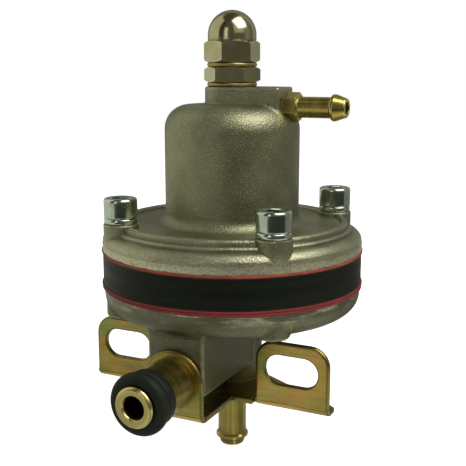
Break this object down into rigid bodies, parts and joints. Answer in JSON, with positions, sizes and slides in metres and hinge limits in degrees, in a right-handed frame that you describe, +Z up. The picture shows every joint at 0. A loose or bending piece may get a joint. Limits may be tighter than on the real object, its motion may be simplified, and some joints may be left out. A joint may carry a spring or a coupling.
{
  "type": "fuel pressure regulator",
  "caption": "Diaphragm fuel pressure regulator with a cast spring bell, clamped diaphragms, a plug-in inlet stub, hose tails and a folded bracket with slotted ears.",
  "frame": {"origin": "midway between the two bracket slots, on the front face of the ears", "axes": "+Z up the body axis towards the dome nut, -Y out of the ears' front face and along the inlet stub, +X along the vacuum tail"},
  "size_m": [0.069, 0.0845, 0.1168],
  "materials": {
    "cast_alloy": "as-cast sandy skin",
    "yellow_zinc": "yellow zinc passivated",
    "brass": "turned",
    "washer_brass": "dull turned",
    "nickel": "bright nickel plated",
    "zinc_steel": "bright zinc plated",
    "plain_steel": "plain",
    "black_alloy": "satin black, finely turned",
    "black_rubber": "matte",
    "maroon_rubber": "matte cut edge",
    "orange_rubber": "matte cut edge"
  },
  "bodies": {
    "housing": {"bracket": "yellow_zinc", "lower_body": "cast_alloy", "valve_seat": "brass", "outlet_tail": "brass", "inlet_stub": "brass", "backing_ring": "black_rubber", "inlet_o_ring": "black_rubber", "lower_gasket": "maroon_rubber", "lower_diaphragm": "maroon_rubber", "spacer_ring": "black_alloy", "upper_diaphragm": "orange_rubber", "bell_housing": "cast_alloy", "cap_screws": "zinc_steel", "spring_washers": "zinc_steel", "vacuum_fitting": "brass", "lock_nut_washer": "washer_brass", "lock_nut": "nickel", "main_spring": "plain_steel"},
    "diaphragm_group": {"upper_diaphragm_plate": "plain_steel", "centre_spacer": "plain_steel", "lower_diaphragm_plate": "plain_steel", "centre_stem": "plain_steel", "stem_nut": "zinc_steel", "valve_disc": "black_rubber"},
    "spring_seat": {"upper_spring_seat": "plain_steel"},
    "adjuster": {"adjusting_screw": "plain_steel"},
    "dome_washer": {"dome_nut_washer": "washer_brass"},
    "dome_cap": {"dome_nut": "nickel"}
  },
  "joints": [
    {"name": "diaphragm_lift", "type": "slide", "parent": "housing", "child": "diaphragm_group", "axis": [0, 0, 1], "range_m": [0, 0.0012], "stiffness_N_per_m": 1500, "springref_m": -0.0005, "deforming": ["main_spring", "upper_diaphragm", "lower_diaphragm"]},
    {"name": "adjuster_travel", "type": "slide", "parent": "housing", "child": "spring_seat", "axis": [0, 0, 1], "range_m": [-0.0025, 0.0025], "deforming": ["main_spring"]},
    {"name": "adjuster_turn", "type": "hinge", "parent": "spring_seat", "child": "adjuster", "pos_m": [0, 0.0156, 0], "axis": [0, 0, 1], "range_deg": [-721, 721]},
    {"name": "dome_nut_travel", "type": "slide", "parent": "housing", "child": "dome_washer", "axis": [0, 0, 1], "range_m": [0, 0.004]},
    {"name": "dome_nut_turn", "type": "hinge", "parent": "dome_washer", "child": "dome_cap", "pos_m": [0, 0.0156, 0], "axis": [0, 0, 1], "range_deg": [0, 1153]}
  ],
  "couplings": [
    {"joint": "adjuster_turn", "follows": "adjuster_travel", "rad_per_m": 5026.5},
    {"joint": "dome_nut_turn", "follows": "dome_nut_travel", "rad_per_m": 5026.5}
  ]
}
